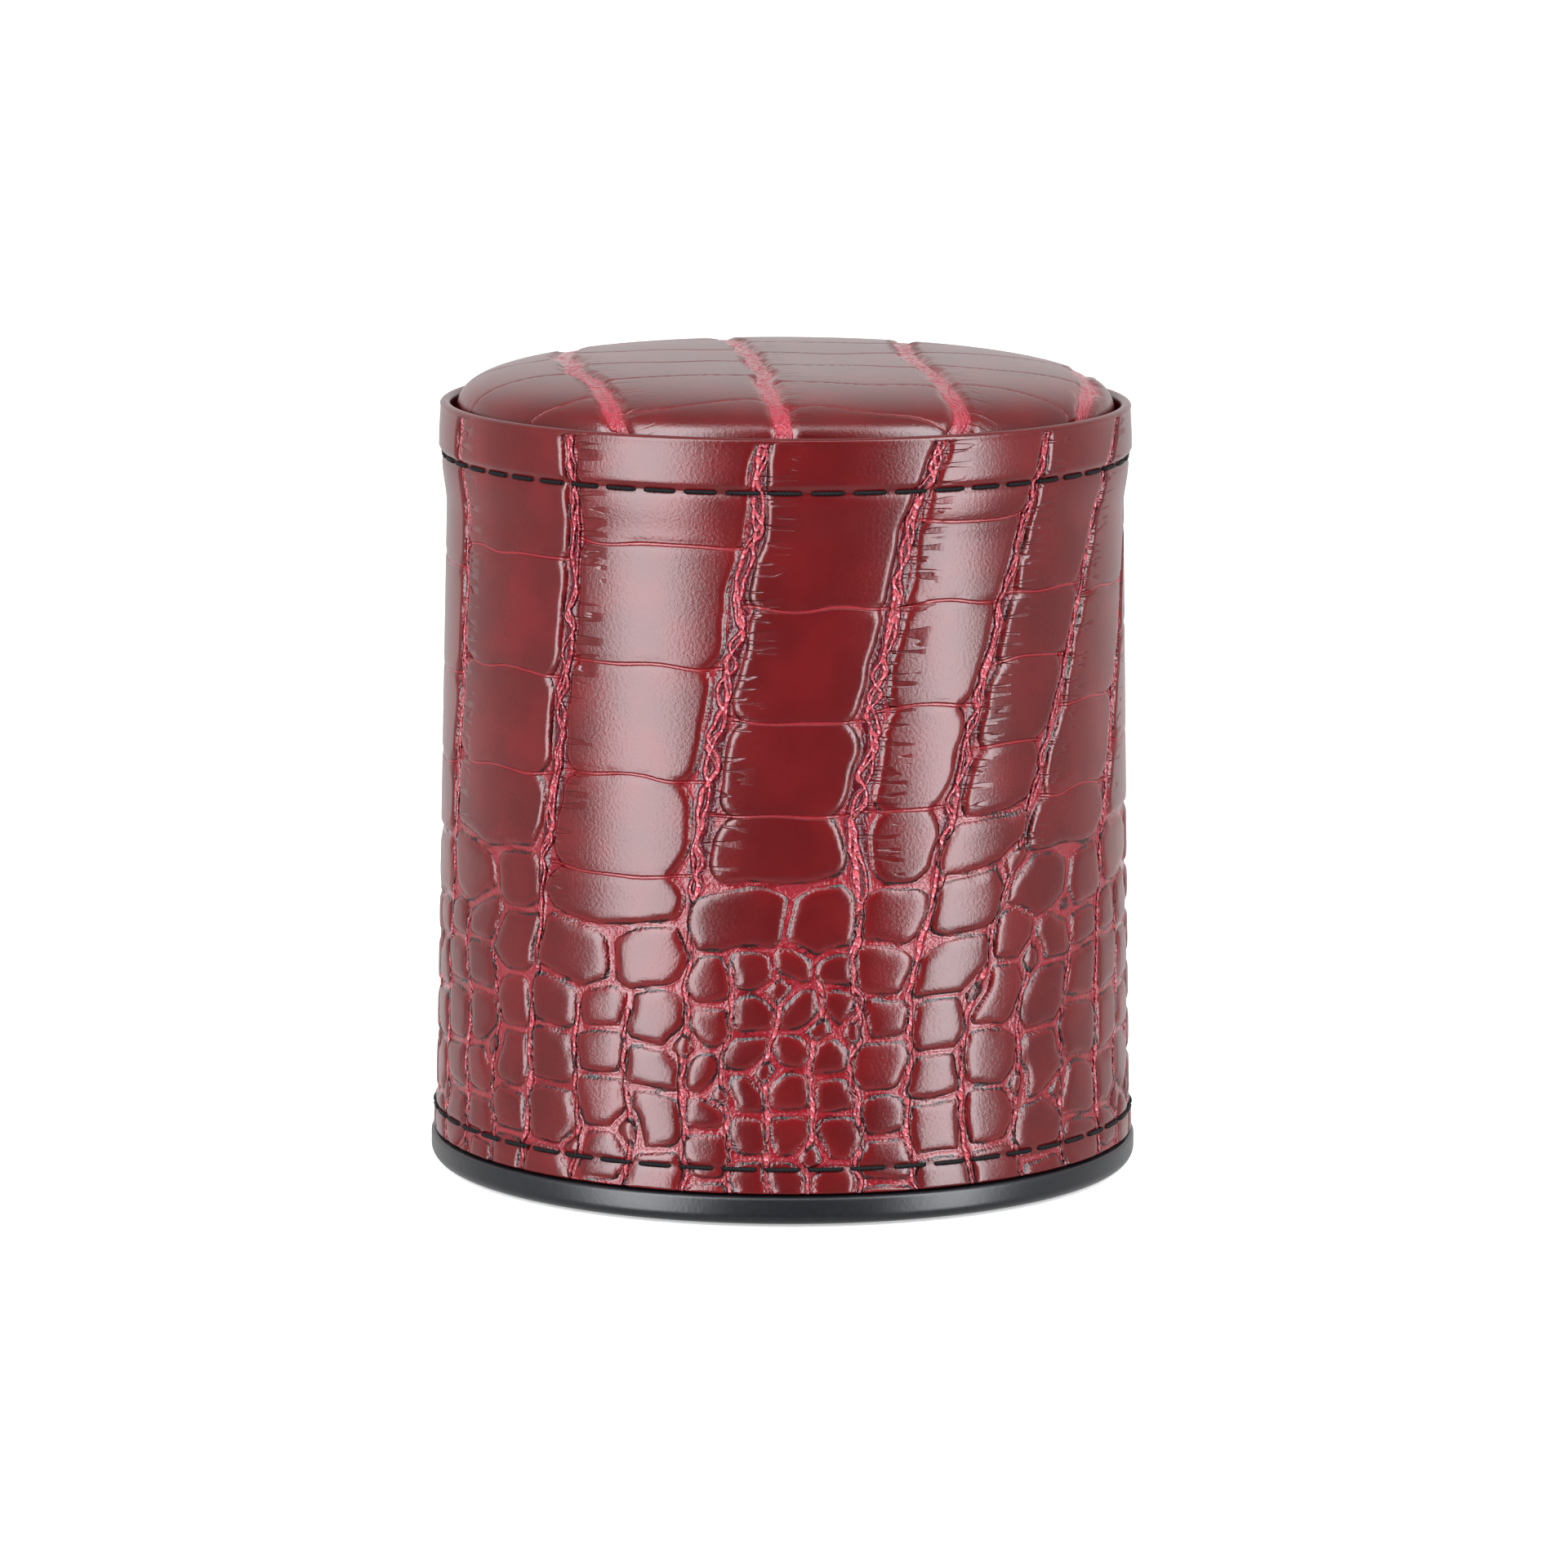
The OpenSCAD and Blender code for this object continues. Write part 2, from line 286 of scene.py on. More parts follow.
def ripple(x, y, length, seed, waves=7):
    """Soft random hills between -1 and 1: a mean of sine waves of about one length, any direction."""
    r = np.random.default_rng(seed)
    turn, phase = r.uniform(0, 2 * np.pi, (2, waves))
    k = 2 * np.pi / (length * r.uniform(0.7, 1.5, waves))
    total = sum(np.sin(kk * (x * np.cos(t) + y * np.sin(t)) + p) for kk, t, p in zip(k, turn, phase))
    return total / waves ** 0.5 / 1.4


def spread(low, high, count, lines, width, gain):
    """Positions from low to high, packed closer round some lines: equal steps of summed density."""
    fine = np.linspace(low, high, 3001)
    lines = np.asarray(lines, float)
    density = 1 + gain * np.exp(-((fine[:, None] - lines) / width) ** 2).sum(axis=1)
    total = np.concatenate([[0], np.cumsum((density[1:] + density[:-1]) / 2)])
    return np.interp(np.linspace(0, total[-1], count), total, fine)


print("soft step at a quarter:", ease(0.25), "- ripple at three places:",
      ripple(np.array([0.0, 4.0, 8.0]), 0, 9, 1).round(2))

# %% Where the creases of the wall's sheet run
# Across the sheet, positions are measured along the wall from the front, right being positive, on a
# cylinder of this radius. Each crease is a few listed positions from the mouth up to the rim.
sheet_r = 45.0
half_sheet = math.pi * sheet_r
crease_z = np.array([4, 24, 44, 64, 84, 101])
creases = np.array([
    [-153, -151, -150, -149, -148, -147],
    [-132, -130, -129, -126, -124, -122],
    [-112, -109, -106, -104, -103, -104],
    [-88, -86, -85, -82, -80, -79],
    [-58, -58, -56.5, -54.5, -53.5, -54],
    [-37, -35.5, -33.8, -31.4, -29, -29.7],
    [-12.4, -12.8, -11.2, -8.4, -5, -2.6],
    [9.2, 9.4, 9.2, 11.5, 15.4, 20.6],
    [17, 16.8, 18.6, 27, 31.8, 38.2],
    [25, 25.4, 30, 42.2, 47.6, 57.5],
    [50, 50, 51.5, 58.6, 66, 75],
    [72, 73, 74, 78, 84, 92],
    [92, 94, 95, 99, 104, 110],
    [111, 114, 116, 119, 123, 127],
    [133, 135, 137, 139, 142, 145],
    [154, 155, 156, 158, 160, 162],
])
# Heights of the cross creases in each column between two creases, from the hem down
cross_z = [
    [84, 70, 57, 45], [81, 68, 55, 44], [85, 70, 58, 46], [80, 66, 54, 44],
    [83.5, 68.5, 56, 45.5], [86.2, 71, 56.4, 44.8, 37.6], [78.7, 64.7, 52.5, 43],
    [89.5, 78.5, 65.5, 53, 43.4], [79.4, 70.4, 60, 50], [77.8, 64.4, 53, 45],
    [84, 71, 58, 47], [80, 67, 54, 43], [85, 72, 59, 47], [81, 68, 56, 44], [84, 70, 57, 45],
]
# How many chains of pebbles fill each column below its tiles
chains = [3, 3, 3, 4, 3, 3, 4, 1, 1, 3, 3, 3, 3, 3, 3]
# Share of the usual width that each upright crease has, between tiles and then among pebbles
crease_share = [0.8, 0.7, 0.8, 0.7, 0.65, 0.95, 1.15, 1.15, 0.85, 0.6, 0.7, 0.75, 0.8, 0.7, 0.8, 0.75]
pebble_share = [1, 0.8, 0.8, 1, 0.8, 1, 1.2, 2.0, 1, 0.8, 0.8, 1, 0.8, 0.8, 1, 0.8]


def smooth_curve(at, values, where):
    """Polynomial of the fourth degree through given values."""
    return np.polynomial.Polynomial.fit(at, values, 4)(where)


def crease_lines(z):
    """Position of every crease at heights z: a smooth curve through the listed ones, and a wiggle."""
    z = np.asarray(z, float)
    rows = [smooth_curve(crease_z, line, np.clip(z, 3, 102)) for line in creases]
    shake = [0.5 * ripple(z, 0 * z + 31.0 * i, 13, 50 + i) for i in range(len(creases))]
    return np.array(rows) + np.array(shake)


def crease_half(z, upper, lower):
    """Half the width of an upright crease at height z: widest at mid height, thin among pebbles."""
    tiles = np.interp(z, [43, 55, 78, 100], [1.2, 1.45, 1.25, 0.85])
    return lower * 0.5 + (upper * tiles - lower * 0.5) * ease((z - 36) / 12)


print("creases:", len(creases), "tiles:", sum(map(len, cross_z)))

# %% Cells: who owns a point, and how deep inside it lies
valley_half = 0.42         # half the gap between two pebbles that meet
far = 9.0                  # stands for further off than anything that matters
# What the fields say where the leather has no print
blank = {"edge": 1.0, "left": far, "tint": 0.5, "rung": far, "side": 0.0, "facing": -1.0, "width": 1.0,
         "phase": 0.0}


def new_field(shape):
    """An empty field: nothing owns any point yet."""
    start = {"best": -far, "next": -far, "tint": 0.0, "left": far, "rung": far, "dome": 0.0}
    return {name: np.full(shape, value) for name, value in start.items()}


def lay(field, part, distance, tint, left=far, rung=far, dome=0.0):
    """Adds one cell: the largest distance inside an edge owns the point; pebbles keep the runner-up."""
    best, runner = field["best"][part], field["next"][part]
    wins = distance > best
    if dome:
        field["next"][part] = np.where(wins, best, np.maximum(runner, distance))
    field["best"][part] = np.maximum(best, distance)
    for name, value in (("tint", tint), ("left", left), ("rung", rung), ("dome", dome)):
        field[name][part] = np.where(wins, value, field[name][part])


def tile(left, right, below, above, corner):
    """Distance inside a box with round corners, from the distances inside its four sides."""
    across, upright = corner - np.minimum(left, right), corner - np.minimum(below, above)
    outside = np.hypot(np.maximum(across, 0), np.maximum(upright, 0))
    return corner - outside - np.minimum(np.maximum(across, upright), 0)


def pebble(x, z, wide, tall, turn, power=2.5):
    """Distance inside a squarish oval: one less its stretched radius, times its mean half size."""
    u = (x * math.cos(turn) + z * math.sin(turn)) / wide
    v = (z * math.cos(turn) - x * math.sin(turn)) / tall
    return (1 - (np.abs(u) ** power + np.abs(v) ** power) ** (1 / power)) * (wide + tall) / 2


def edge_of(field):
    """Signed distance from the nearest crease's edge: positive on a scale, negative in a crease."""
    return np.minimum(field["best"], (field["best"] - field["next"]) / 2 - valley_half)


print("a pebble of 4 by 3 mm is", pebble(0.0, 0.0, 2.0, 1.5, 0.0), "mm deep in its middle")

# %% The wall's pattern
overlap = 0.35             # cells run into each other: between two tiles there is only a cut
transition = 7.5           # height of the row of larger pebbles below the tiles
pebble_reach = 9.0         # no pebble reaches further up or down than this
filler_chance, filler_wide, filler_tall = 0.3, 2.5, 2.2    # small pebbles in the gaps


def lay_tiles(field, s, z, a, b, halves, edges, r, corners=(1.5, 4.5)):
    """Stacks tiles between the creases at a and b; edges are the cross creases from the top down.
    Each edge is arched a little, and a tile's corners are rounder the lower it lies."""
    inside = np.clip((s - a) / (b - a), 0, 1)
    arch = 1 - (2 * inside - 1) ** 2
    cuts = [edge + r.uniform(-0.9, 0.9) * arch for edge in edges]
    left, right = s - a - halves[0], b - s - halves[1]
    for k, (top, bottom) in enumerate(zip(cuts, cuts[1:])):
        last = k == len(edges) - 2
        below, above = z - bottom, top - z
        corner = np.clip(1.5 + 0.06 * (82 - edges[k + 1]), *corners)
        depth = tile(left, right, below - 0.4 if last else below + overlap, above + overlap, corner)
        rung = np.where((below < above) & (not last), below, -above)
        lay(field, slice(None), depth, r.uniform(), left=left + 3 * np.maximum(-below, 0), rung=rung)


def at_height(pitch, z, height):
    """The pitch on the row of points nearest to a height."""
    return pitch[np.argmin(np.abs(z[:, 0] - height))]


def lay_pebble(field, s, z, middle, pitch, height, tall, r):
    """One pebble at a height, filling the pitch beside a middle line; both are given for each row."""
    here = at_height(pitch, z, height)
    row = np.abs(z[:, 0] - height) < pebble_reach
    x = s[row] - middle[row][:, None] - r.uniform(-0.3, 0.3)
    wide, turn = here / 2 * r.uniform(1.0, 1.14), r.uniform(-0.45, 0.45)
    lay(field, row, pebble(x, z[row] - height, wide, tall + overlap, turn), r.uniform(), dome=1.0)
    if r.uniform() < filler_chance:
        filler = pebble(x - here / 2, z[row] - height + tall, filler_wide, filler_tall, 0.6)
        lay(field, row, filler, r.uniform(), dome=1.0)


def lay_pebbles(field, s, z, middle, pitch, top, r):
    """Hangs a chain of pebbles from height top down past the mouth."""
    height = top - r.uniform(1.5, 4.0)
    while height > -3:
        tall = np.clip(0.44 * at_height(pitch, z, height), 2.6, 3.8) * r.uniform(0.85, 1.15)
        lay_pebble(field, s, z, middle, pitch, height, tall, r)
        height -= 2 * tall + 0.3


def wall_pattern(s, z):
    """Field of the wall's sheet at arc positions s and heights z, and the line and half width of each
    crease and of each path between two chains of pebbles."""
    field, r, sheet_top = new_field(s.shape), np.random.default_rng(11), 118.0
    lines, level = crease_lines(z[:, 0]), z[:, 0]
    halves = [crease_half(level, *shares) for shares in zip(crease_share, pebble_share)]
    seams = list(zip(lines, halves))
    s = s + 0.22 * ripple(s, z, 5, 21)
    z = z + 0.3 * ripple(s, z, 9, 22)
    for k, heights in enumerate(cross_z):
        a, b = lines[k], lines[k + 1]
        sides = (halves[k][:, None], halves[k + 1][:, None])
        lay_tiles(field, s, z, a[:, None], b[:, None], sides, [sheet_top, *heights], r)
        top = heights[-1]
        if chains[k] > 2:
            # a row of two larger pebbles leads from the tiles to the chains
            split = r.uniform(0.45, 0.65)
            for start, end in ((0, split), (split, 1)):
                tall = r.uniform(3.6, 4.4)
                middle, pitch = a + (b - a) * (start + end) / 2, (b - a) * (end - start)
                lay_pebble(field, s, z, middle, pitch, top - tall, tall, r)
            top -= transition
        shares = np.arange(chains[k] + 1) / chains[k]
        sway = [4.4 * share * (1 - share) * ripple(level, 0 * level + 9 * share, 20, 70 + k)
                for share in shares]
        paths = [a + (b - a) * share + shift for share, shift in zip(shares, sway)]
        for left, right in zip(paths, paths[1:]):
            lay_pebbles(field, s, z, (left + right) / 2, right - left, top, r)
        seams += [(path, np.where(level < top - 3, 0.22, -far)) for path in paths[1:-1]]
    return field, seams


# Twisted cords in a crease: wavelength in mm, start, and swing as a share of the crease's half width
cords = [(11.3, 0.0, 0.6), (7.9, 2.3, -0.55), (17.0, 1.2, 0.45)]
cord_half = 0.5            # half the width of one cord
emboss = 0.55              # depth of the print
# The distance across a crease changes sign from one crease to the next. It is kept as the sine and
# cosine of a turn, half a turn being this far, so that it passes through far and not through nought.
cross_reach = 3.0


def cord_height(cross, width, phase, z):
    """Cords along a crease: ridges that swing from side to side of it and cross each other."""
    height = np.zeros(cross.shape)
    for length, start, swing in cords:
        middle = swing * width * np.sin(2 * np.pi * z / length + start + phase)
        height = np.maximum(height, ease(1 - np.abs(cross - middle) / cord_half))
    return height


def relief_of(edge, field, cut_depth):
    """Height below the flat face: a round shoulder up from the crease, domed on the pebbles, less a
    narrow cut, in section a bell curve, between two tiles."""
    tile_top = 1 - (1 - np.clip(edge / 0.8, 0, 1)) ** 2.4
    pebble_top = 1 - (1 - np.clip(edge / 2.0, 0, 1)) ** 2
    round_share = 0.3 * field["dome"]
    top = (1 - round_share) * tile_top + round_share * pebble_top
    cut = cut_depth * np.exp(-(field["rung"] / 0.45) ** 2)
    return emboss * (1 - 0.2 * field["dome"]) * (top - 1) - cut


print(f"print {emboss} mm deep, {len(cords)} cords in each crease")

# %% [markdown]
# ## The leather wrap
# The wrap is one sheet, glued round the core, with its ends lapped at the back. Its section is a
# closed loop: up the outside, over the rim, down inside the rim's lip, down behind the face and
# round the mouth. Rows of points follow that loop, and columns go round the cup, packed closer along
# the creases, so the fine cords there come from the mesh itself.

# %% Radius of the wall's face
def wall_r(z):
    """Radius of the straight wall at height z: a cone."""
    return mouth_r - taper * (z - mouth_z) / (stitch_z - mouth_z)


def face_r(z):
    """Radius of the leather's face: the cone, plus lip and hem, less the two stitched grooves."""
    lip = lip_out * (1 - ease((z - mouth_stitch_z - 0.4) / 3))
    swell = swell_out * ease((z - swell_z) / (stitch_z - 0.75 - swell_z))
    hem = (hem_out - swell_out) * ease((z - stitch_z) / 1.1)
    lean = 0.12 * ease((z - stitch_z - 2.5) / 4)
    grooves = sum(np.exp(-((z - at) / 0.5) ** 2) for at in (stitch_z, mouth_stitch_z))
    return wall_r(z) + lip + swell + hem - lean - stitch_dip * grooves


lap_edge = 3.5             # how far the sheet's free end reaches past the seam's stitches
lap_out = 0.34             # how far the lapped end stands out
seam_dip = 0.3             # depth of the channel of the back seam
seam_low, seam_high = (corner[2] for corner in span("seam_stitching"))


def lap(s):
    """Extra height where the sheet's two ends lap: a long ramp up to the free end, then a step."""
    past = np.where(s < 0, s + half_sheet, s - half_sheet)
    return lap_out * ease((past + 11) / 8) * (1 - ease((past - lap_edge + 0.25) / 0.5))


def seam_groove(s, z):
    """Shallow channel that the stitches of the back seam pull into the lap."""
    across = half_sheet - np.abs(s)
    ends = ease((z - seam_low) / 2) * ease((seam_high - z) / 2)
    return seam_dip * np.exp(-(across / 0.55) ** 2) * ends


print("radius of the face at the mouth and the rim:", face_r(np.array([mouth_z, rim_z])).round(2), "mm")

# %% Make the leather wrap
turned_in = 9.7            # how far the leather is turned in at the mouth


def wall_rows():
    """Radius, height and share of relief for each row of the closed section, and how many rows it
    takes to round the mouth's edge and to climb the face."""
    soft, rim_turn, end_z = 0.4, rim_z - rim_t / 2, mouth_z + turned_in
    up = spread(mouth_z + soft, rim_turn, 152, [mouth_stitch_z, stitch_z], 1.2, 0.9)
    low_turn = np.radians(np.linspace(-75, -15, 3))
    turn = np.radians(np.linspace(0, 180, 9))[1:]
    lip_at = face_r(mouth_z + soft) - soft
    back, under = wall_r(np.array([cover_z, mouth_z])) - leather_t, wall_r(mouth_z) - leather_t - core_t
    inner_turn = np.radians(np.linspace(0, -90, 4))
    rows = [
        (lip_at + soft * np.cos(low_turn), mouth_z + soft + soft * np.sin(low_turn), 0.35),
        (face_r(up), up, 1.0),
        (rim_mid_r + rim_t / 2 * np.cos(turn), rim_turn + rim_t / 2 * np.sin(turn), 0.0),
        (np.array([rim_in_r, rim_in_r]), np.array([rim_turn - 1.5, cover_z + 0.6]), 0.0),
        (back, np.array([cover_z + 0.2, mouth_z + leather_t]), 0.0),
        (np.array([under, under - 0.2]), np.array([mouth_z + leather_t, end_z]), 0.0),
        (np.array([under - 0.2, under]) - pared_t, np.array([end_z, mouth_z + 2]), 0.0),
        (under - pared_t + soft - soft * np.cos(inner_turn),
         mouth_z + soft + soft * np.sin(inner_turn), 0.0),
    ]
    r, z = (np.concatenate([row[i] for row in rows]) for i in (0, 1))
    share = np.concatenate([np.full(len(row[0]), row[2]) for row in rows])
    return r, z, share, len(low_turn), len(up)


def imprint(s, z, field, seams, cut_depth=0.12, rope_height=0.3):
    """Relief of a patch of hide, and the fields that its material reads."""
    fields = {"edge": edge_of(field), **{name: field[name] for name in ("left", "tint", "rung")}}
    cross, width, phase, nearest = (np.full(s.shape, start) for start in (far, 1.0, 0.0, far))
    for k, (line, half) in enumerate(seams):
        if line.ndim == 1:
            line, half = line[:, None], half[:, None]
        t, half = s - line + 0.22 * ripple(s, z, 3.1, 61), np.broadcast_to(half, s.shape)
        beyond = np.abs(t) - half
        wins, nearest = beyond < nearest, np.minimum(beyond, nearest)
        stray = 2.4 * k + 1.5 * np.sin(z / 5.3 + k) + 0.8 * np.sin(z / 2.3 + 2 * k)
        cross, width = np.where(wins, t, cross), np.where(wins, np.maximum(half, 0.1), width)
        phase = np.where(wins, stray, phase)
    ropes = rope_height * cord_height(cross, width, phase, z) * ease((0.3 - fields["edge"]) / 0.4)
    turn = np.pi * np.clip(cross / cross_reach, -1, 1)
    fields |= {"side": np.sin(turn), "facing": np.cos(turn), "width": width, "phase": phase}
    height = relief_of(fields["edge"], field, cut_depth) + ropes
    return height, fields


def store_hide(piece, shape, part, s, z, fields):
    """Keeps the hide's fields on a piece: blank on the hidden rows, and the sheet's own position."""
    for name, values in fields.items():
        whole = np.full(shape, blank[name])
        whole[part] = values
        store(piece, name, whole)
    store(piece, "sheet_s", s)
    store(piece, "sheet_z", z)


def make_wall():
    """The wrap: rows of the section times columns round the cup, pushed in by the relief."""
    r, z, share, first, count = wall_rows()
    cols = 568                 # as fine as the cords need, and still under 200,000 triangles
    outer = slice(0, first + count)
    lines = crease_lines(np.clip(z[outer], 4, 100))
    free_end = lap_edge - half_sheet
    s = np.zeros((len(r), cols))
    for i in range(first + count):
        marks = np.append(lines[:, i], [free_end, free_end, half_sheet + lap_edge])
        s[i] = spread(-half_sheet, half_sheet, cols + 1, marks, 2.1, 1.0)[:-1]
    s[first + count:] = np.linspace(-half_sheet, half_sheet, cols + 1)[:-1]
    sheet_s = np.where(s < free_end, s + 2 * half_sheet, s)
    zz = np.broadcast_to(z[:, None], s.shape)
    face_s, face_z = sheet_s[outer], zz[outer]
    field, seams = wall_pattern(face_s, face_z)
    height, fields = imprint(face_s, face_z, field, seams)
    # the thread presses the print flatter under both rows of stitches
    pressed = sum(depth * np.exp(-((face_z - at) / 0.7) ** 2)
                  for depth, at in ((0.55, stitch_z), (0.5, mouth_stitch_z)))
    rim_fade = ease((rim_z - 0.2 - face_z) / 1.6)
    radius = np.broadcast_to(r[:, None], s.shape).copy()
    radius[outer] += height * share[outer][:, None] * (1 - pressed) * (0.5 + 0.5 * rim_fade)
    radius[outer] += lap(s[outer]) * rim_fade - seam_groove(s[outer], face_z)
    faces = grid_faces(len(r), cols, close_rows=True)
    wall = make_mesh("wall_wrap", around(radius, zz, s / sheet_r).reshape(-1, 3), faces)
    store_hide(wall, s.shape, outer, sheet_s, zz, fields)
    return wall


def show(piece, node, body):
    """Puts a piece in place of its CAD node, which it hides, on that node's body."""
    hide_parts(node)
    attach(piece, body)
    return piece


wall = show(make_wall(), "wall_leather", "cup")

# %% [markdown]
# ## The padded end cover
# The closed end is a disc of the same hide, pulled over foam and board and turned in underneath. Its
# section is a quarter of a superellipse, which is flatter on top and fuller at the shoulder than an
# ellipse, as leather over firm foam is. The relief is pushed along the surface's own normal.

# %% Make the end cover
dome_h, dome_power = 8.5, 3.5
turned = 8.0               # width of the leather turned in under the board
cover_half = 1.25          # half the width of the cover's creases
cover_cut = 0.02           # depth of its cross cuts: over foam the print is drawn flatter
cover_cords = 0.12         # height of its cords


def even(r, z, step):
    """Points along an outline at about even spacing."""
    run = np.concatenate([[0], np.cumsum(np.hypot(np.diff(r), np.diff(z)))])
    at = np.linspace(0, run[-1], int(run[-1] / step) + 1)
    return np.interp(at, run, r), np.interp(at, run, z)


def dome_line(shrink, low):
    """Outline of the dome from near the axis to height low, set in by shrink."""
    a = np.pi / 2 * np.linspace(0, 1, 900) ** 1.6
    r = (cover_r - shrink) * np.sin(a) ** (2 / dome_power)
    z = cover_top_z - dome_h + (dome_h - shrink) * np.maximum(np.cos(a), 0) ** (2 / dome_power)
    return np.append(r, cover_r - shrink), np.append(z, low)


# Positions to the right of the middle at these depths, from the front edge to the back
cover_crease_y = np.array([-46, -20, 0, 20, 46])
cover_creases = np.array([
    [-66, -67, -68, -69, -70],
    [-44, -45, -47, -48, -48],
    [-21.5, -25, -28.5, -28.5, -26.5],
    [0.5, -3, -4.5, -7, -11.5],
    [23.5, 19.5, 16.5, 15.5, 17],
    [40, 39.5, 39, 38.5, 38],
    [60, 61, 62, 61, 60],
])
# Depths of the cross creases in each column, from the back edge to the front
cover_cross_y = [
    [70, 20, -16, -70], [70, 30, 15, 1, -14, -29, -70], [70, 36, 21, 7, -8, -22, -36, -70],
    [70, 32, 17, 3, -12, -27, -39, -70], [70, 35, 20, 5, -10, -24, -37, -70], [70, 12, -20, -70],
]


def make_cover():
    """Shell of the end cover: face from the middle out, turned in, and back inside to the middle."""
    edge_r, low = 0.6, cover_z + glue
    r, z = even(*dome_line(0, low + edge_r), 0.5)
    r, z = r[1:], z[1:]
    turn = np.radians(np.linspace(0, -90, 5))[1:]
    inner_r, inner_z = even(*dome_line(leather_t, low + leather_t), 2.5)
    rows_r = np.concatenate([r, cover_r - edge_r + edge_r * np.cos(turn), [cover_r - turned] * 2,
                             inner_r[:0:-1]])
    rows_z = np.concatenate([z, low + edge_r + edge_r * np.sin(turn), [low, low + leather_t],
                             inner_z[:0:-1]])
    cols, face = 440, slice(0, len(r))
    angle = np.broadcast_to(2 * np.pi * np.arange(cols) / cols, (len(r), cols))
    run = np.concatenate([[0], np.cumsum(np.hypot(np.diff(r), np.diff(z)))]) + r[0]
    x, y = run[:, None] * np.sin(angle), -run[:, None] * np.cos(angle)
    lines = [smooth_curve(cover_crease_y, line, np.clip(y, -50, 50))
             + 0.5 * ripple(y, 0 * y + 9.0 * i, 13, 90 + i) for i, line in enumerate(cover_creases)]
    field, draw = new_field(x.shape), np.random.default_rng(5)
    wx, wy = x + 0.25 * ripple(x, y, 5, 31), y + 0.6 * ripple(x, y, 11, 32)
    for a, b, edges in zip(lines, lines[1:], cover_cross_y):
        lay_tiles(field, wx, wy, a, b, (cover_half, cover_half), edges, draw, corners=(1.0, 1.4))
    seams = [(line, cover_half) for line in lines]
    height, fields = imprint(x, y, field, seams, cover_cut, cover_cords)
    slope = np.arctan2(np.gradient(z), np.gradient(r))
    push = 0.75 * height * ease((z - cover_z - 0.6) / 1.2)[:, None]
    radius = np.broadcast_to(rows_r[:, None], (len(rows_r), cols)).copy()
    level = np.broadcast_to(rows_z[:, None], radius.shape).copy()
    radius[face] -= push * np.sin(slope)[:, None]
    level[face] += push * np.cos(slope)[:, None]
    whole = np.broadcast_to(angle[:1], radius.shape)
    faces = grid_faces(len(rows_r), cols)
    last = (len(rows_r) - 1) * cols
    cover = make_mesh("end_cover_leather", around(radius, level, whole).reshape(-1, 3), faces,
                      caps=[range(cols - 1, -1, -1), range(last, last + cols)])
    flat = [np.pad(v, ((0, len(rows_r) - len(r)), (0, 0)), mode="edge") for v in (x, y)]
    store_hide(cover, radius.shape, face, *flat, fields)
    return cover


cover = show(make_cover(), "end_cover", "cup")

# %% [markdown]
# ## Embossed leather
# The hide is split leather with a polyurethane skin: dyed through, hot pressed, then burnished, so
# the flat tops are dark and glossy and the creases keep the lighter, duller pink red of the skin.
# The distance from the crease, kept on the mesh, drives colour, gloss and the finest relief.

# %% Material: embossed crocodile leather
def stored(tree, *names):
    """Numbers kept on the piece's points."""
    return [add(tree, "Attribute", output="Fac", attribute_name=name) for name in names]


def relief(tree, *layers):
    """Stacks fine relief: each layer is a height of 0 to 1 and its depth in millimetres."""
    normal = None
    for height, depth in layers:
        normal = add(tree, "Bump", Strength=1.0, Distance=depth * MM, Height=height, Normal=normal)
    return normal


def cord_ridges(tree, cross, width, phase, along):
    """The same cords as in the mesh, a little narrower and at any sharpness."""
    ridges = 0.0
    for length, start, swing in cords:
        turn = add(tree, "Math", along, 2 * math.pi / length, start, **times_plus)
        wave = add(tree, "Math", add(tree, "Math", turn, phase, **plus), operation="SINE")
        middle = add(tree, "Math", add(tree, "Math", wave, swing, **times), width, **times)
        off = add(tree, "Math", add(tree, "Math", cross, middle, **minus), operation="ABSOLUTE")
        ridge = add(tree, "MapRange", off, 0.05, cord_half * 0.9, 1.0, 0.0, **smooth)
        ridges = add(tree, "Math", ridges, ridge, **most)
    return ridges


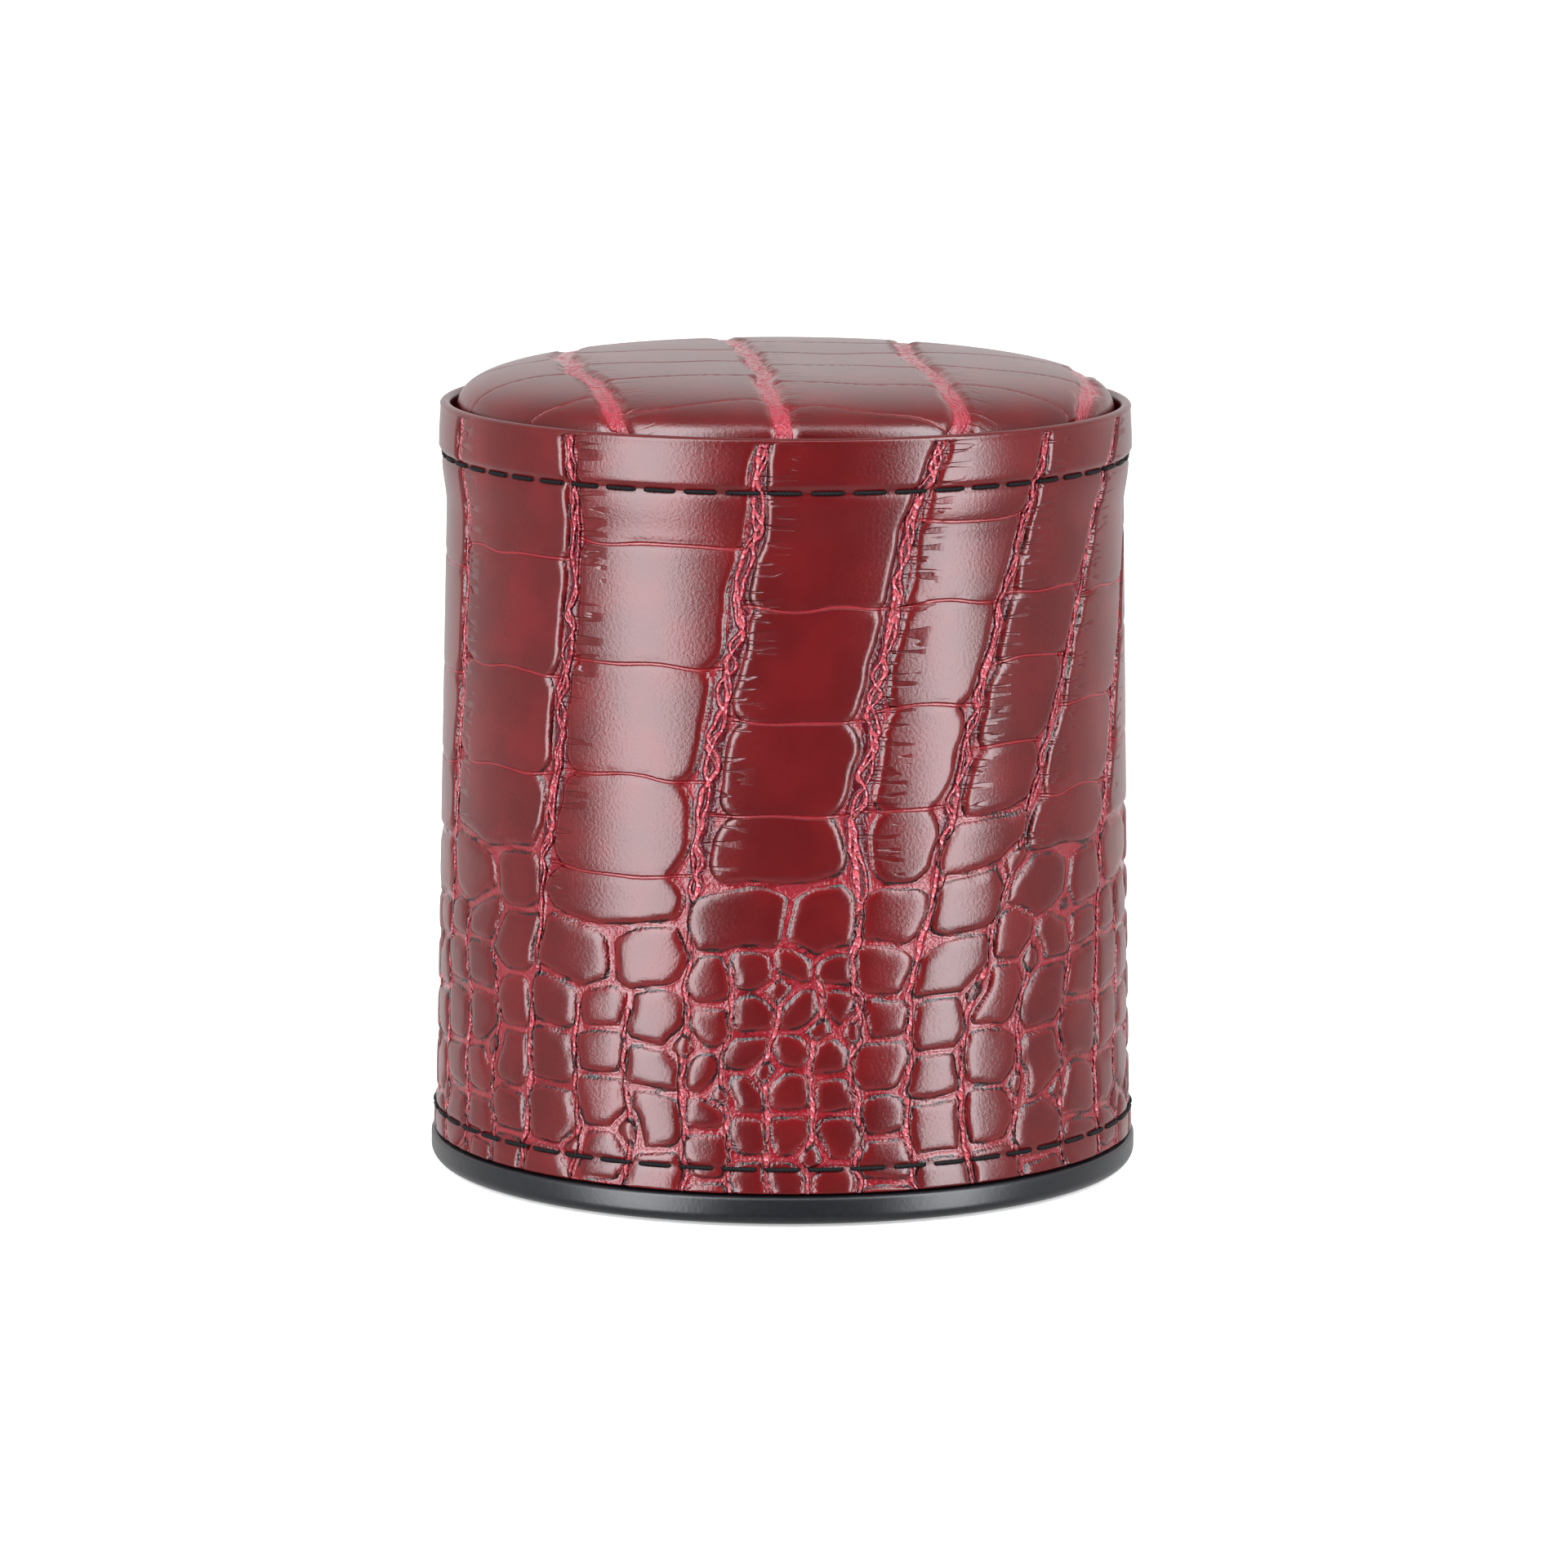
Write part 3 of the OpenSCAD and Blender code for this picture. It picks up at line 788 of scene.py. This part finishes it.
def embossed_leather(name, print_depth, gap_colour):
    """Dark burnished tops, pink red creases, wrinkles at the tiles' left ends and a fine grain."""
    leather, tree, shader = new_material(name, IOR=1.5)
    edge, tint, left, rung, side, facing, width, phase, across, along = stored(
        tree, "edge", "tint", "left", "rung", "side", "facing", "width", "phase", "sheet_s", "sheet_z")
    turn = add(tree, "Math", side, facing, operation="ARCTAN2")
    cross = add(tree, "Math", turn, cross_reach / math.pi, **times)
    sheet = add(tree, "CombineXYZ", across, along)
    grain, cloud = add(tree, "TexNoise", sheet, 2.2, 3.0), add(tree, "TexNoise", sheet, 0.11, 2.0)
    shaky = add(tree, "Math", add(tree, "Math", grain, 0.5, **minus), 0.4, **times)
    ragged = add(tree, "Math", edge, shaky, **plus)
    # a cross crease is a cut: a thin line where the distance to it changes sign
    cut = add(tree, "Math", add(tree, "Math", shaky, 0.4, rung, **times_plus), operation="ABSOLUTE")
    cut = add(tree, "MapRange", cut, 0.06, 0.3, print_depth, 0.0, **smooth)
    cut = add(tree, "Math", cut, add(tree, "MapRange", edge, 0.8, 1.1, 1.0, 0.0, **smooth), **times)
    in_crease = add(tree, "MapRange", ragged, -0.3, -0.02, 1.0, 0.0, **smooth)
    low = add(tree, "MapRange", ragged, 0.0, 0.35, print_depth, 0.0, **smooth)
    ridges = add(tree, "Math", cord_ridges(tree, cross, width, phase, along), low, **times)
    # the plate's cords are twisted: fine slanting strands, which catch the light as short dashes
    slant = add(tree, "Math", along, 4.8, **times)
    for value, turns in ((cross, 4.0), (grain, 7.0)):
        slant = add(tree, "Math", value, turns, slant, **times_plus)
    strands = add(tree, "MapRange", add(tree, "Math", slant, operation="SINE"), -0.6, 0.9, **smooth)
    strands = add(tree, "Math", strands, ridges, **times)
    # the burnish is darkest on the tops, and differs in clouds and from tile to tile
    burnish_and_shade = "#6A0E13"
    for value, start, end, share, colour in ((ragged, -0.1, 0.8, 1.0, "#460507"),
                                             (cloud, 0.35, 0.7, 0.6, "#5A0A0D"),
                                             (tint, 0.0, 1.0, 0.35, "#3E0608")):
        part = add(tree, "MapRange", value, start, end, 0.0, share, **smooth)
        burnish_and_shade = add(tree, "Mix", part, burnish_and_shade, colour, **colours)
    # painted shade: a near black ring along the edge of each scale, where it drops into its crease,
    # broken into arcs by a noise
    arcs = add(tree, "TexNoise", sheet, 0.33, 1.0)
    arcs = add(tree, "MapRange", arcs, 0.38, 0.62, 0.3, 1.0, **smooth)
    shoulder = add(tree, "Math", add(tree, "MapRange", ragged, -0.2, 0.0, **smooth),
                   add(tree, "MapRange", ragged, 0.05, 0.45, 1.0, 0.0, **smooth), **times)
    shoulder = add(tree, "Math", shoulder, add(tree, "Math", arcs, print_depth, **times), **times)
    burnish_and_shade = add(tree, "Mix", shoulder, burnish_and_shade, "#160203", **colours)
    # between its cords a wide crease takes the gap colour, on the wall a near black: painted shade
    inside = add(tree, "Math", add(tree, "Math", cross, operation="ABSOLUTE"), width, **minus)
    inside = add(tree, "MapRange", inside, -0.3, 0.1, 1.0, 0.0, **smooth)
    inside = add(tree, "Math", inside, add(tree, "MapRange", width, 0.5, 0.9, **smooth), **times)
    gap = add(tree, "Mix", inside, "#6A1820", gap_colour, **colours)
    lit = add(tree, "MapRange", grain, 0.3, 0.7, **smooth)
    cord = add(tree, "Mix", lit, "#781C25", "#A43642", **colours)
    # painted glints: pale dashes on the cords' crests, where the strands and the grain rise
    painted_glint = add(tree, "Math", add(tree, "MapRange", strands, 0.45, 0.9, **smooth),
               add(tree, "MapRange", grain, 0.4, 0.6, 0.0, 0.6, **smooth), **times)
    cord = add(tree, "Mix", painted_glint, cord, "#DC8E96", **colours)
    crease = add(tree, "Mix", ridges, gap, cord, **colours)
    skin = add(tree, "Mix", in_crease, burnish_and_shade, crease, **colours)
    # hairline wrinkles run in from the left end of a tile
    stretch = add(tree, "Mapping", sheet, Scale=(0.14, 1.0, 1.0))
    dashes = add(tree, "TexNoise", stretch, 0.95, 1.0)
    dashes = add(tree, "MapRange", dashes, 0.53, 0.63, 1.0, 0.0, **smooth)
    wrinkle = add(tree, "Math", dashes, add(tree, "MapRange", left, 0.8, 4.5, **smooth), **most)
    rise = add(tree, "MapRange", ragged, -0.4, 0.4, **smooth)
    rough = add(tree, "MapRange", in_crease, 0.0, 1.0, 0.2, 1.0, **smooth)
    feed(tree, shader, Base_Color=add(tree, "Mix", cut, skin, "#6C141A", **colours),
         Roughness=add(tree, "MapRange", ragged, -0.2, 0.4, 0.1, 0.24, **smooth),
         Normal=relief(tree, (wrinkle, 0.22 * print_depth), (rise, 0.2 * print_depth), (cut, -0.22),
                       (ridges, 0.38), (strands, 0.2), (add(tree, "Math", grain, rough, **times), 0.16),
                       (add(tree, "TexNoise", sheet, 6.0, 2.0), 0.010)))
    return leather


pulled = "crocodile_print_leather_pulled_over_foam"
# on the wall the floor of a wide crease between its cords is near black: painted shade
wall.data.materials.append(embossed_leather("crocodile_print_leather", 1.0, "#3E0810"))
cover.data.materials.append(embossed_leather(pulled, 0.3, "#84202E"))
print("leather materials:", wall.data.materials[0].name, cover.data.materials[0].name)

# %% [markdown]
# ## Stitches
# Each stitch is a short run of bonded polyester thread that dives into its two holes. One mesh holds
# a whole row, since every stitch is the same few dozen faces. The twist of the thread is in the
# material: a wave that climbs round the thread as it goes along.

# %% Stitches
thread_r = 0.24            # half the thread's thickness, a little squeezed
proud = 0.16               # how far a stitch's middle stands off the floor of its groove
ring_count, seam_count = 52, 14
fill = 0.84                # part of the pitch that a stitch covers
thread_rings, thread_sides = 8, 6


def stitch_row(name, centre, along, out, length):
    """Stitches about their centres: thread that lies along, bulges out, and dips at both ends."""
    run = np.array([-1, -0.94, -0.8, -0.4, 0.4, 0.8, 0.94, 1.0])
    drop = 0.06 - 0.62 * np.abs(run) ** 14 - 0.06 * run ** 2
    thick = thread_r * np.array([0.75, 0.9, 1.0, 1.05, 1.05, 1.0, 0.9, 0.75])
    turn = 2 * np.pi * np.arange(thread_sides) / thread_sides
    side = np.cross(along, out)
    count = len(centre)
    run_at = run * length / 2
    points = (centre[:, None, None] + along[:, None, None] * run_at[None, :, None, None]
              + out[:, None, None] * (drop[:, None] + thick[:, None] * np.cos(turn))[None, :, :, None]
              + side[:, None, None] * (1.15 * thick[:, None] * np.sin(turn))[None, :, :, None])
    shape = (count, thread_rings, thread_sides)
    each = thread_rings * thread_sides
    first = each * np.arange(count)
    faces = (grid_faces(thread_rings, thread_sides)[None] + first[:, None, None]).reshape(-1, 4)
    ends = range(thread_sides - 1, -1, -1), range(each - thread_sides, each)
    caps = [[f + k for k in order] for f in first for order in ends]
    row = make_mesh(name, points.reshape(-1, 3), faces, caps)
    starts = 1.7 * np.arange(count)[:, None, None]      # each stitch shows another part of the twist
    for kept, values in (("run", run_at[None, :, None] + starts), ("ply_cos", np.cos(turn)),
                         ("ply_sin", np.sin(turn))):
        store(row, kept, np.broadcast_to(values, shape))
    return row


def ring_of(radius, z, count, start=0.0):
    """Centre, run and outward direction of stitches round a level ring."""
    angle = start + 2 * np.pi * np.arange(count) / count
    zero = 0 * angle
    return (around(radius, z + zero, angle), np.stack([np.cos(angle), np.sin(angle), zero], axis=1),
            np.stack([np.sin(angle), -np.cos(angle), zero], axis=1))


top_r = float(face_r(stitch_z)) + proud
mouth_out_r = float(face_r(mouth_stitch_z)) + proud
lining_r = wall_r(mouth_stitch_z) - 4.2        # the same stitches seen on the lining
rows = [ring_of(mouth_out_r, mouth_stitch_z, ring_count),
        ring_of(lining_r, mouth_stitch_z, ring_count, math.pi / ring_count)]
rows[1] = (rows[1][0], rows[1][1], -rows[1][2])

seam_pitch = (seam_high - seam_low - 0.3) / (seam_count - 1 + fill)
seam_at = seam_low + seam_pitch * (np.arange(seam_count) + fill / 2)
seam_r = wall_r(seam_at) + lap_out - seam_dip + proud
lean = taper / (stitch_z - mouth_z)
seam = (np.stack([0 * seam_at, seam_r, seam_at], axis=1),
        np.tile([0, -lean, 1.0], (seam_count, 1)), np.tile([0, 1.0, lean], (seam_count, 1)))

top_row = stitch_row("top_stitches", *ring_of(top_r, stitch_z, ring_count),
                     2 * math.pi * top_r / ring_count * fill)
mouth_row = stitch_row("mouth_stitches", *(np.concatenate(pair) for pair in zip(*rows)),
                       2 * math.pi * mouth_out_r / ring_count * fill)
seam_row = stitch_row("seam_stitches", *seam, seam_pitch * fill)
show(top_row, "top_stitching", "cup")
show(mouth_row, "mouth_stitching", "cup")
show(seam_row, "seam_stitching", "cup")

# %% Material: bonded thread
def bonded_thread():
    """Black bonded polyester: satin, with the twist of its plies, one turn in 0.55 mm."""
    thread, tree, shader = new_material("black_bonded_polyester_thread", Base_Color="#08080A",
                                        Roughness=0.6, Specular_IOR_Level=0.15)
    run, ply_cos, ply_sin = stored(tree, "run", "ply_cos", "ply_sin")
    climb = add(tree, "Math", run, 2 * math.pi / 0.55, **times)
    sine, cosine = (add(tree, "Math", climb, operation=wave) for wave in ("SINE", "COSINE"))
    twist = add(tree, "Math", cosine, ply_sin, add(tree, "Math", sine, ply_cos, **times), **times_plus)
    twist = add(tree, "MapRange", twist, -1.0, 1.0, **smooth)
    feed(tree, shader, Normal=relief(tree, (twist, 0.09)))
    return thread


thread = bonded_thread()
for row in (top_row, mouth_row, seam_row):
    row.data.materials.append(thread)

# %% [markdown]
# ## Tray, foam and velvet
# These are round, so each is one outline turned about the axis. The tray is moulded, with soft edges
# and a raised ring that finds the cup's mouth. The velvet has a nap: its face is very slightly uneven,
# and its material shows a light rim where the pile is seen from the side.

# %% Lathe and outlines
def corner(r, z, radius, start, end, steps=5):
    """Points of a round corner about a centre, from one angle to another in degrees."""
    turn = np.radians(np.linspace(start, end, steps))
    return r + radius * np.cos(turn), z + radius * np.sin(turn)


def outline(*parts):
    """One outline out of single points and runs of points."""
    return tuple(np.concatenate([np.atleast_1d(part[i]) for part in parts]) for i in (0, 1))


def lathe(name, r, z, cols=192, closed=False, relief=None):
    """Turns an outline about the axis: (r sin a, -r cos a, z). Unless it's a closed ring, its two ends
    near the axis get caps."""
    angle = 2 * np.pi * np.arange(cols) / cols
    radius = np.broadcast_to(r[:, None], (len(r), cols))
    level = np.broadcast_to(z[:, None], radius.shape)
    if relief is not None:
        push_r, push_z = relief(radius, level, angle[None])
        radius, level = radius + push_r, level + push_z
    last = (len(r) - 1) * cols
    caps = () if closed else [range(cols - 1, -1, -1), range(last, last + cols)]
    points = around(radius, level, np.broadcast_to(angle, radius.shape)).reshape(-1, 3)
    return make_mesh(name, points, grid_faces(len(r), cols, close_rows=closed), caps)


def disc(name, radius, low, high, edge, relief=None, cols=192):
    """A flat disc with soft edges."""
    mid = np.linspace(1.0, radius - edge, 24)
    r, z = outline((mid, np.full(24, low)), corner(radius - edge, low + edge, edge, -72, 0),
                   corner(radius - edge, high - edge, edge, 0, 72), (mid[::-1], np.full(24, high)))
    return lathe(name, r, z, cols, relief=relief)


print("a quarter circle as an outline:", corner(0, 0, 1, 0, 90, 3)[0].round(2))

# %% Tray
foot_r, foot_top = span("tray_foot")[1][[0, 2]]
tray_low, tray_high = span("tray_base")
tray_z, tray_r, ring_z = tray_low[2], tray_high[0], tray_high[2]
flange_z = mouth_z - 0.3
ring_r = tray_r - 5.38                         # outside of the locating ring
recess_r = foot_r + 0.2                        # recess of the foot pad
dish_z, ring_in_r = flange_z - 1.0, span("tray_velvet")[1][0] + 0.1
low_edge, top_edge, small = 1.6, 0.5, 0.3      # radii of the tray's rounded edges
tray = lathe("tray_shell", *outline(
    (1.0, foot_top + glue), (recess_r - small, foot_top + glue), (recess_r, foot_top - 0.25),
    corner(recess_r + small, tray_z + small, small, 180, 270),
    corner(tray_r - low_edge, tray_z + low_edge, low_edge, -90, 0, 12),
    corner(tray_r - top_edge, flange_z - top_edge, top_edge, 0, 90, 7),
    (ring_r + 0.4, flange_z), (ring_r + 0.1, flange_z + 0.1), (ring_r, flange_z + 0.4),
    corner(ring_r - top_edge, ring_z - top_edge, top_edge, 0, 90, 7),
    corner(ring_in_r + top_edge, ring_z - top_edge, top_edge, 90, 180, 7),
    (ring_in_r, dish_z + small), (ring_in_r - small, dish_z), (1.0, dish_z)), cols=256)
show(tray, "tray_base", "tray")


# %% Foam and velvet
def nap(radius, level, angle):
    """Slight unevenness of the pile, a few hundredths of a millimetre."""
    x, y = radius * np.sin(angle), -radius * np.cos(angle)
    return 0 * radius, 0.05 * ripple(x + 3 * level, y, 7, 71) * np.ones_like(radius)


def wall_nap(radius, level, angle):
    """The same on the lining of the wall, pushed towards the axis."""
    return 0.05 * ripple(angle * 42, level, 9, 72), 0 * radius


low, high = span("tray_pad")
tray_foam = disc("tray_foam", high[0], low[2], high[2], 0.4)
show(tray_foam, "tray_pad", "tray")

low, high = span("end_pad")
dome_r, dome_z = even(*dome_line(leather_t + 4 * glue, low[2] + 0.3), 1.2)
inward = np.linspace(high[0] - 0.3, 1.0, 12)
foam = lathe("end_foam", *outline((dome_r[1:], dome_z[1:]), (inward, np.full(12, low[2]))))
show(foam, "end_pad", "cup")

low, high = span("tray_velvet")
tray_nap = disc("tray_velvet_disc", high[0], low[2], high[2], 0.3, nap)
show(tray_nap, "tray_velvet", "tray")

low, high = span("liner_end")
end_nap = disc("end_velvet_disc", high[0] - glue, low[2], high[2], 0.3, nap)
show(end_nap, "liner_end", "cup")

low, high = span("liner_wall")
velvet_t = 0.9             # thickness of the velvet
up = np.linspace(low[2] + 0.4, high[2] - 0.1, 70)
outer = wall_r(up) - (wall_r(low[2]) - high[0])
lining = lathe("wall_velvet", *outline(
    (outer, up), (outer[::-1] - velvet_t, up[::-1]),
    (outer[0] - velvet_t + 0.25, low[2] + 0.06), (outer[0] - 0.25, low[2] + 0.06)),
    closed=True, relief=wall_nap, cols=256)
show(lining, "liner_wall", "cup")


# %% Materials: moulded plastic, velvet, foam, board, tape and rubber
def in_mm(tree):
    """The piece's own coordinates, in millimetres."""
    return add(tree, "VectorMath", add(tree, "TexCoord", output="Object"), 1 / MM, operation="SCALE")


def speckled(name, dark, light, per_mm, roughness, depth):
    """A plain material whose colour and relief vary with one noise."""
    material, tree, shader = new_material(name, Roughness=roughness)
    grain = add(tree, "TexNoise", in_mm(tree), per_mm, 4.0)
    share = add(tree, "MapRange", grain, 0.3, 0.7, **smooth)
    feed(tree, shader, Base_Color=add(tree, "Mix", share, dark, light, **colours),
         Normal=relief(tree, (grain, depth)))
    return material


def velvet():
    """Black cotton velvet: almost no shine from the front, a soft grey sheen at the side."""
    pile, tree, shader = new_material("black_cotton_velvet", Roughness=0.95, Sheen_Weight=0.3,
                                      Sheen_Roughness=0.35, Specular_IOR_Level=0.1)
    where = in_mm(tree)
    strokes = add(tree, "MapRange", add(tree, "TexNoise", where, 0.06, 2.0), 0.4, 0.6, **smooth)
    feed(tree, shader, Base_Color=add(tree, "Mix", strokes, "#0C0C0E", "#18181B", **colours),
         Normal=relief(tree, (add(tree, "TexNoise", where, 3.5, 2.0), 0.12)))
    return pile


def woven_tape():
    """Natural cotton tape in a plain weave of 0.5 mm threads."""
    tape, tree, shader = new_material("woven_cotton_tape", Roughness=0.85, Sheen_Weight=0.3)
    rungs = add(tree, "TexWave", in_mm(tree), 0.63, 0.4, output="Fac", bands_direction="Z")
    feed(tree, shader, Base_Color=add(tree, "Mix", rungs, "#B9B19D", "#DAD3C2", **colours),
         Normal=relief(tree, (rungs, 0.08)))
    return tape


def assign(material, *pieces):
    """Puts one material in every slot of the pieces."""
    for piece in pieces:
        if not piece.data.materials:
            piece.data.materials.append(material)
        for i in range(len(piece.data.materials)):
            piece.data.materials[i] = material


node = frame["nodes"]
assign(velvet(), tray_nap, end_nap, lining)
assign(speckled("satin_black_moulded_plastic", "#0E0F13", "#131418", 1.6, 0.36, 0.02), tray)
assign(speckled("white_polyurethane_foam", "#D9D2BE", "#F0EBDD", 1.4, 0.9, 0.2), tray_foam, foam)
assign(speckled("black_rubber_pad", "#0E0F10", "#191A1C", 0.8, 0.8, 0.1), node["tray_foot"])
assign(speckled("brown_leatherboard", "#6E573D", "#8C7354", 0.9, 0.8, 0.06), node["wall_core"])
assign(speckled("grey_card", "#968F80", "#B5AE9E", 1.2, 0.85, 0.04),
       node["liner_backing"], node["liner_end_board"], node["end_board"])
assign(woven_tape(), node["hem_tape"])
print("materials:", len(bpy.data.materials))
